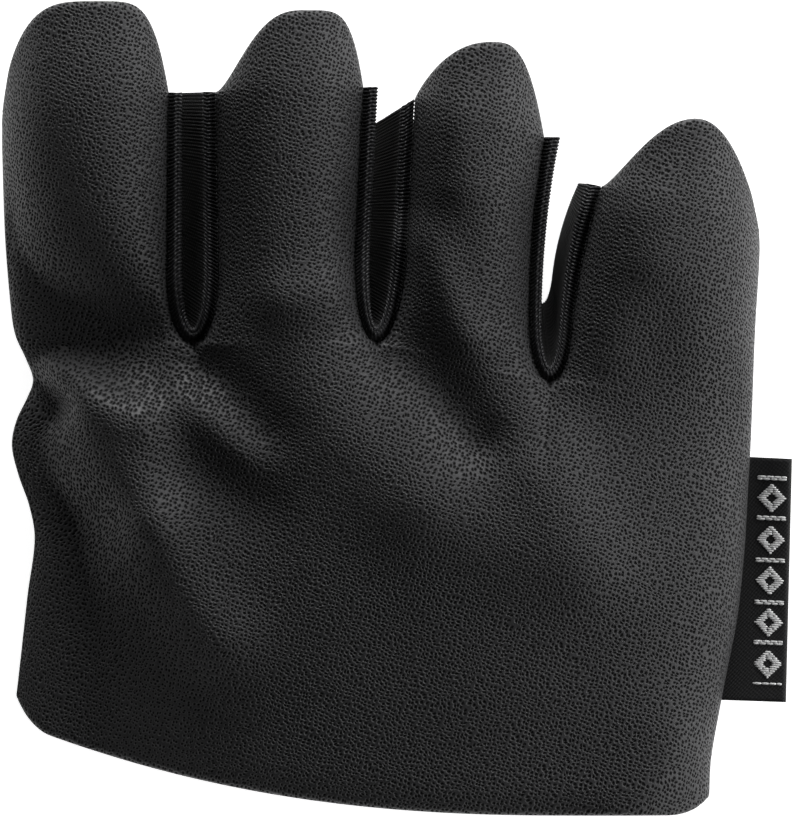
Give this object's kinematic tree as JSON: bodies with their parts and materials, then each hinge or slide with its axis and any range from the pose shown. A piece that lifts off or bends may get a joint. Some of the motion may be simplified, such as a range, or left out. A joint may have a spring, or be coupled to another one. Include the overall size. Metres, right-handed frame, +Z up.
{
  "type": "workout glove",
  "caption": "Thumbless open-finger workout glove for the left hand, with a grained leather palm and finger tabs, a stretch back, ribbed elastic bands between the fingers and a folded side label",
  "frame": {"origin": "centre of the bounding box in plan, on the surface that the glove's back lies on", "axes": "+X from the index side to the little-finger side, +Y from the wrist hem to the fingertips, +Z up out of the palm"},
  "size_m": [0.1012, 0.104, 0.0279],
  "materials": {
    "palm_leather": "black, pebble-grained, soft satin sheen",
    "back_knit": "black stretch knit, matte",
    "ribbed_elastic": "black ribbed elastic, matte with a slight sheen on the ribs",
    "label_weave": "black twill-woven label with a plain light-grey pattern near its fold"
  },
  "bodies": {
    "root": {"palm_panel": "palm_leather", "back_panel": "back_knit", "finger_band_index_middle": "ribbed_elastic", "finger_band_middle_ring": "ribbed_elastic", "finger_band_ring_little": "ribbed_elastic", "woven_label": "label_weave"}
  },
  "joints": []
}
